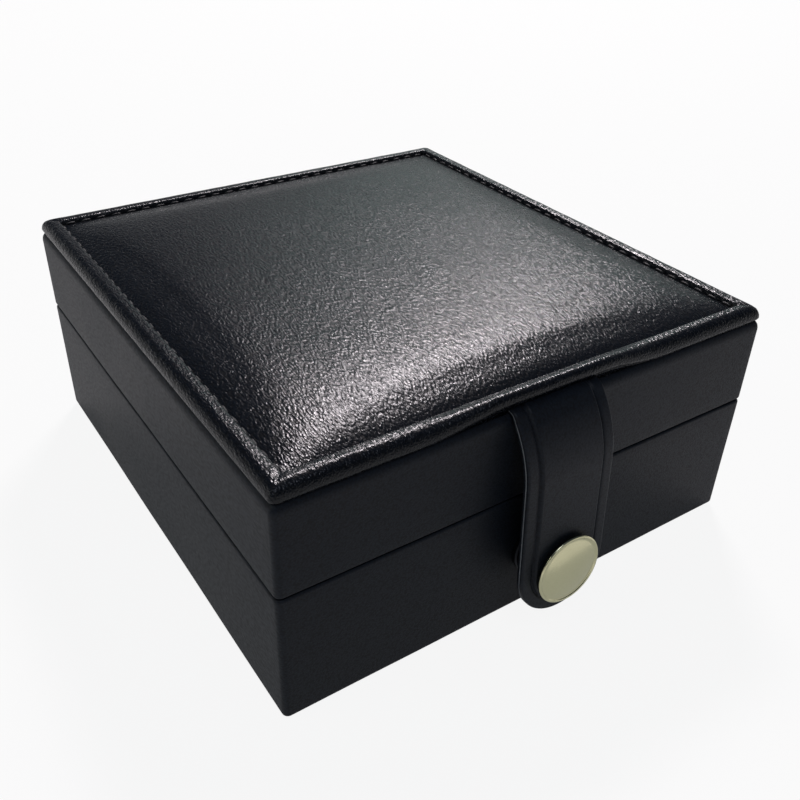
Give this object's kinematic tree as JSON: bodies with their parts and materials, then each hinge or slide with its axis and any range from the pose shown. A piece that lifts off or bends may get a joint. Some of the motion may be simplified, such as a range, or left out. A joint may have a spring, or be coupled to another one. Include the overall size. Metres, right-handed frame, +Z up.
{
  "type": "pocket watch box",
  "caption": "Square pocket watch box in black leatherette: hinged lid with a padded, stitched top, closed by a strap with a round metal button.",
  "frame": {"origin": "middle of the box's footprint, on the surface it stands on", "axes": "+X to the right along the front, +Y from the strap at the front to the hinges at the back, +Z up"},
  "size_m": [0.106, 0.1276, 0.0506],
  "materials": {
    "leatherette": "black, fine pebble grain, satin",
    "board": "grey-brown fibre board, matte",
    "card": "card, matte",
    "felt": "black backing sheet, matte",
    "satin": "ivory satin",
    "velvet": "ivory velvet",
    "foam": "foam, matte",
    "thread": "black thread",
    "champagne_metal": "champagne plating, satin",
    "brass": "polished",
    "steel": "nickel plated",
    "ferrite": "dark grey, matte"
  },
  "bodies": {
    "base": {"base_back_board": "board", "base_bottom_board": "board", "base_front_board": "board", "base_left_board": "board", "base_lining": "satin", "base_right_board": "board", "base_wrap": "leatherette", "bottom_sheet": "felt", "hinge_base_screws": "brass", "hinge_left_base_leaf": "brass", "hinge_left_pin": "brass", "hinge_right_base_leaf": "brass", "hinge_right_pin": "brass", "insert_card": "card", "insert_foam": "foam", "insert_velvet": "velvet", "striker_plate": "steel", "striker_rivet": "steel"},
    "lid": {"cover_card": "card", "cover_foam": "foam", "hinge_left_lid_leaf": "brass", "hinge_lid_screws": "brass", "hinge_right_lid_leaf": "brass", "lid_back_board": "board", "lid_front_board": "board", "lid_left_board": "board", "lid_lining": "satin", "lid_pad_card": "card", "lid_pad_cover": "satin", "lid_pad_foam": "foam", "lid_right_board": "board", "lid_top_board": "board", "lid_wrap": "leatherette", "rim_filler": "foam", "strap_root": "leatherette", "top_cover": "leatherette", "top_stitching": "thread"},
    "strap": {"strap_face": "leatherette", "strap_padding": "foam", "strap_lining": "leatherette", "button_cap": "champagne_metal", "button_rivet": "steel", "magnet_cup": "steel", "magnet": "ferrite"}
  },
  "joints": [
    {"name": "lid_hinge", "type": "hinge", "parent": "base", "child": "lid", "pos_m": [0, 0.05825, 0.0279], "axis": [-1, 0, 0], "range_deg": [0, 100]},
    {"name": "strap_bend", "type": "hinge", "parent": "lid", "child": "strap", "pos_m": [0, -0.0575, 0.0449], "axis": [-1, 0, 0], "range_deg": [0, 85]}
  ]
}
